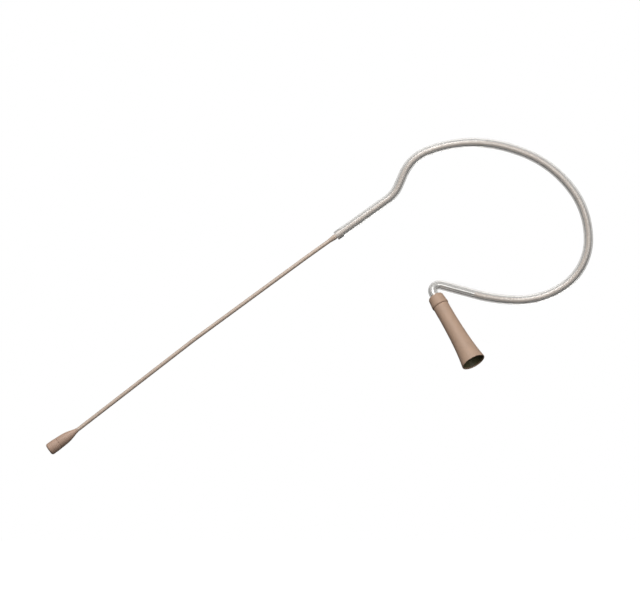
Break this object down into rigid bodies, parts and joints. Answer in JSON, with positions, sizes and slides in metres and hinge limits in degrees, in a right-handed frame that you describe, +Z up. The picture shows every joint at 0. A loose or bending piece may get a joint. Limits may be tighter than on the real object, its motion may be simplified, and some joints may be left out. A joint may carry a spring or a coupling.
{
  "type": "headset microphone",
  "caption": "Single-ear headset microphone: a clear-sleeved wire ear loop, a long thin tan boom with a miniature capsule, and a flared connector boot below the ear.",
  "frame": {"origin": "the spot under the crown of the ear loop that rests on top of the ear", "axes": "-X forwards towards the wearer's mouth, -Y outwards from the head, +Z up"},
  "size_m": [0.1532, 0.0165, 0.0886],
  "materials": {
    "capsule_tan": "satin",
    "boom_tan": "satin",
    "boot_tan": "matte",
    "clear_silicone": "gloss",
    "steel": "polished",
    "screen_steel": "satin",
    "nickel": "satin",
    "brass": "satin",
    "gold": "polished",
    "copper": "satin",
    "solder": "satin",
    "film_plastic": "satin",
    "epoxy_black": "satin",
    "board_green": "satin",
    "seal_rubber": "matte",
    "socket_plastic": "satin",
    "bezel_olive": "satin"
  },
  "bodies": {
    "ear_loop": {"boot_nose": "boot_tan", "boot_shell": "boot_tan", "centre_contact": "gold", "clear_sleeve": "clear_silicone", "core_ferrule": "boom_tan", "crimp_ferrule": "brass", "loop_coat": "boom_tan", "loop_ground_wire": "copper", "loop_signal_wire": "gold", "loop_tube": "steel", "potting_plug": "epoxy_black", "socket_back": "socket_plastic", "socket_bezel": "bezel_olive", "socket_insulator": "socket_plastic", "socket_sleeve": "nickel", "socket_solder_ground": "solder", "socket_solder_signal": "solder"},
    "collar": {"boom_collar": "boom_tan"},
    "boom": {"amplifier_board": "board_green", "amplifier_chip": "epoxy_black", "backplate": "brass", "board_solder_ground": "solder", "board_solder_signal": "solder", "boom_coat": "boom_tan", "boom_ground_wire": "copper", "boom_signal_wire": "gold", "boom_tube": "steel", "capsule_can": "nickel", "capsule_housing": "capsule_tan", "diaphragm": "gold", "diaphragm_ring": "brass", "gate_contact": "gold", "insulator_cup": "film_plastic", "rear_seal": "seal_rubber", "spacer_washer": "film_plastic"},
    "cap": {"acoustic_cap": "capsule_tan", "cap_screen": "screen_steel"}
  },
  "joints": [
    {"name": "boom_yaw", "type": "hinge", "parent": "ear_loop", "child": "collar", "pos_m": [-0.03858, 0, -0.02496], "axis": [0.5807, 0, -0.8141], "range_deg": [-15, 20]},
    {"name": "boom_pitch", "type": "hinge", "parent": "collar", "child": "boom", "pos_m": [-0.04037, 0, -0.02624], "axis": [0, 1, 0], "range_deg": [-25, 25]},
    {"name": "cap_slide", "type": "slide", "parent": "boom", "child": "cap", "axis": [-0.8161, 0, -0.5779], "range_m": [0, 0.008]}
  ]
}
